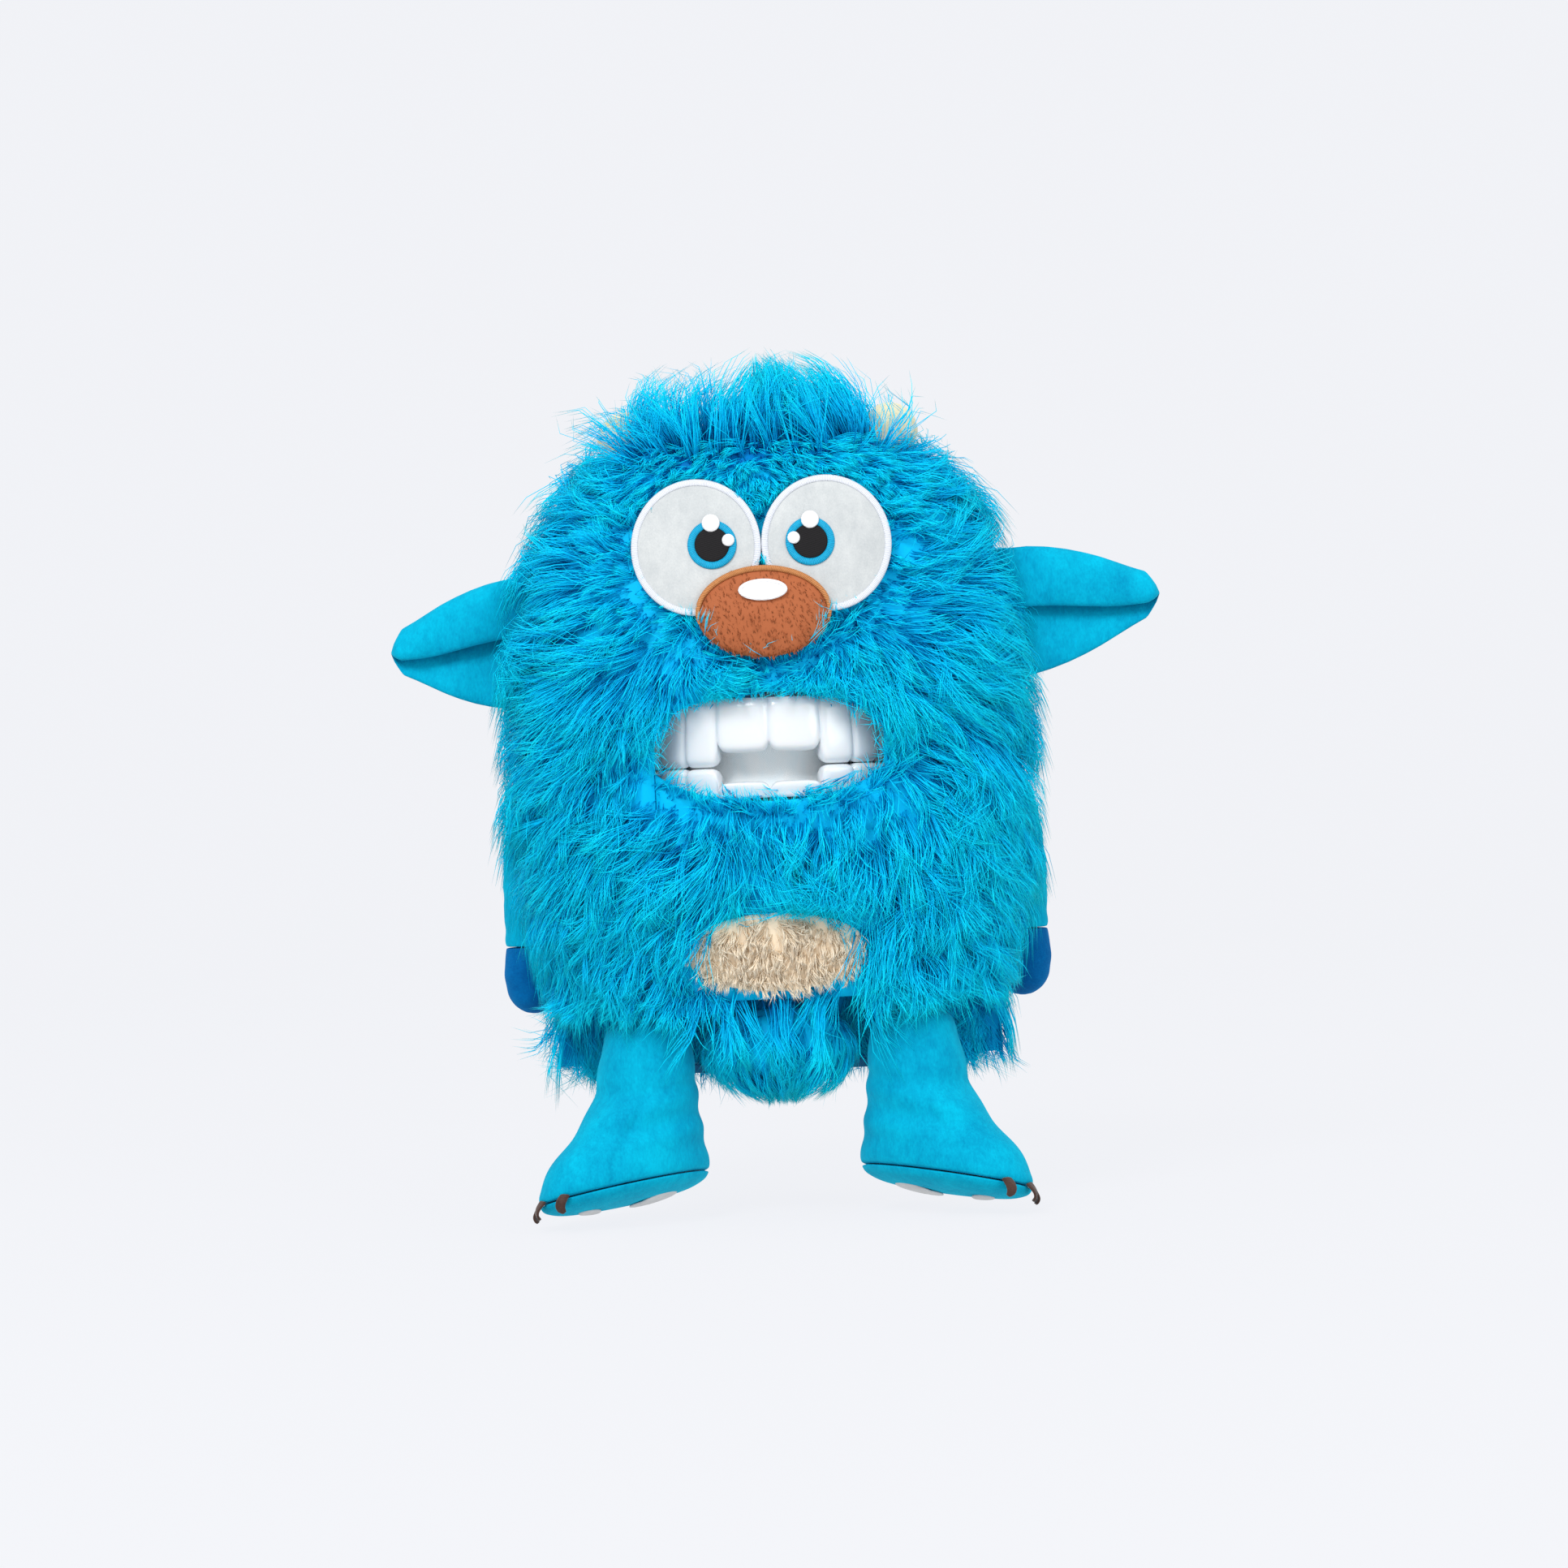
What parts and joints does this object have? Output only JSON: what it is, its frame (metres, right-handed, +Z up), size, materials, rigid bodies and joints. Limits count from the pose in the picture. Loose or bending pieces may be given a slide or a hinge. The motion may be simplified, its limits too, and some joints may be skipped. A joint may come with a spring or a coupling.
{
  "type": "moving mouth hand puppet",
  "caption": "Plush monster hand puppet with a hinged furry mouth, moulded teeth, soft ears, hanging arms and stuffed legs, worked by a hand from below.",
  "frame": {"origin": "centre of the hand opening, at the top of the hem under the puppet's back", "axes": "+Z up out of the hand opening to the crown, -Y out of the face, +X to the puppet's own left"},
  "size_m": [0.284, 0.1115, 0.3079],
  "materials": {
    "blue_fur": "long shaggy pile",
    "turquoise_plush": "short plush pile",
    "navy_plush": "short plush pile",
    "tan_plush": "short upright pile",
    "white_felt": "matt felt",
    "blue_thread": "satin stitch",
    "black_thread": "satin stitch",
    "white_thread": "satin stitch",
    "brown_plush": "short plush with a corded edge",
    "dark_felt": "folded ribbon",
    "cream_plush": "short plush pile",
    "tooth_rubber": "soft gloss",
    "grey_cloth": "plain weave",
    "sleeve_cloth": "knit lining",
    "board": "plain sheet",
    "fibre_fill": "loose fibre"
  },
  "bodies": {
    "torso": {"crown_fur": "blue_fur", "face_fur": "blue_fur", "side_fur_left": "blue_fur", "side_fur_right": "blue_fur", "back_fur": "blue_fur", "cheek_fur_left": "blue_fur", "cheek_fur_right": "blue_fur", "belly_fur": "blue_fur", "seat_fur": "blue_fur", "belly_patch": "tan_plush", "head_stuffing": "fibre_fill", "back_stuffing": "fibre_fill", "side_stuffing_left": "fibre_fill", "side_stuffing_right": "fibre_fill", "belly_stuffing": "fibre_fill", "hand_sleeve": "sleeve_cloth", "hem_binding": "sleeve_cloth", "finger_loop": "sleeve_cloth", "upper_mouth_board": "board", "upper_mouth_lining": "grey_cloth", "upper_teeth": "tooth_rubber", "mouth_hinge_cord": "grey_cloth", "eye_white_left": "white_felt", "eye_white_right": "white_felt", "iris_left": "blue_thread", "iris_right": "blue_thread", "pupil_left": "black_thread", "pupil_right": "black_thread", "eye_glint_left": "white_thread", "eye_glint_right": "white_thread", "nose": "brown_plush", "nose_glint": "white_thread", "horn_left": "cream_plush", "horn_right": "cream_plush", "throat_gusset": "blue_fur"},
    "jaw": {"lower_mouth_board": "board", "lower_mouth_lining": "grey_cloth", "lower_teeth": "tooth_rubber", "chin_fur": "blue_fur", "thumb_loop": "sleeve_cloth"},
    "left_ear": {"ear_left": "turquoise_plush"},
    "left_shoulder": {"shoulder_gather_left": "turquoise_plush"},
    "left_arm": {"arm_left": "turquoise_plush", "mitt_left": "navy_plush"},
    "left_leg": {"leg_left": "turquoise_plush", "leg_stuffing_left": "fibre_fill", "sole_left": "turquoise_plush", "heel_pad_left": "white_felt", "toe_pad_left": "white_felt", "claws_left": "dark_felt"},
    "right_ear": {"ear_right": "turquoise_plush"},
    "right_shoulder": {"shoulder_gather_right": "turquoise_plush"},
    "right_arm": {"arm_right": "turquoise_plush", "mitt_right": "navy_plush"},
    "right_leg": {"leg_right": "turquoise_plush", "leg_stuffing_right": "fibre_fill", "sole_right": "turquoise_plush", "heel_pad_right": "white_felt", "toe_pad_right": "white_felt", "claws_right": "dark_felt"}
  },
  "joints": [
    {"name": "jaw_open", "type": "hinge", "parent": "torso", "child": "jaw", "pos_m": [0, -0.019, 0.112], "axis": [1, 0, 0], "range_deg": [0, 30], "stiffness_Nm_per_rad": 0.06, "springref_deg": -11.46, "deforming": ["throat_gusset"]},
    {"name": "ear_left_fold", "type": "hinge", "parent": "torso", "child": "left_ear", "pos_m": [0.092, -0.012, 0.165], "axis": [0, 0, 1], "range_deg": [-25, 25], "stiffness_Nm_per_rad": 0.01},
    {"name": "ear_right_fold", "type": "hinge", "parent": "torso", "child": "right_ear", "pos_m": [-0.092, -0.012, 0.165], "axis": [0, 0, 1], "range_deg": [-25, 25], "stiffness_Nm_per_rad": 0.01},
    {"name": "arm_left_swing", "type": "hinge", "parent": "torso", "child": "left_shoulder", "pos_m": [0.0943, 0.0141, 0.098], "axis": [-0.7848, -0.6198, 0], "range_deg": [-30, 100]},
    {"name": "arm_left_lift", "type": "hinge", "parent": "left_shoulder", "child": "left_arm", "pos_m": [0.0943, 0.0141, 0.098], "axis": [0.6198, -0.7848, 0], "range_deg": [0, 90]},
    {"name": "arm_right_swing", "type": "hinge", "parent": "torso", "child": "right_shoulder", "pos_m": [-0.0943, 0.0141, 0.098], "axis": [-0.7848, 0.6198, 0], "range_deg": [-30, 100]},
    {"name": "arm_right_lift", "type": "hinge", "parent": "right_shoulder", "child": "right_arm", "pos_m": [-0.0943, 0.0141, 0.098], "axis": [0.6198, 0.7848, 0], "range_deg": [0, 90]},
    {"name": "leg_left_swing", "type": "hinge", "parent": "torso", "child": "left_leg", "pos_m": [0.05, -0.042, 0.006], "axis": [-1, 0, 0], "range_deg": [-20, 80], "stiffness_Nm_per_rad": 0.05},
    {"name": "leg_right_swing", "type": "hinge", "parent": "torso", "child": "right_leg", "pos_m": [-0.05, -0.042, 0.006], "axis": [-1, 0, 0], "range_deg": [-20, 80], "stiffness_Nm_per_rad": 0.05}
  ]
}
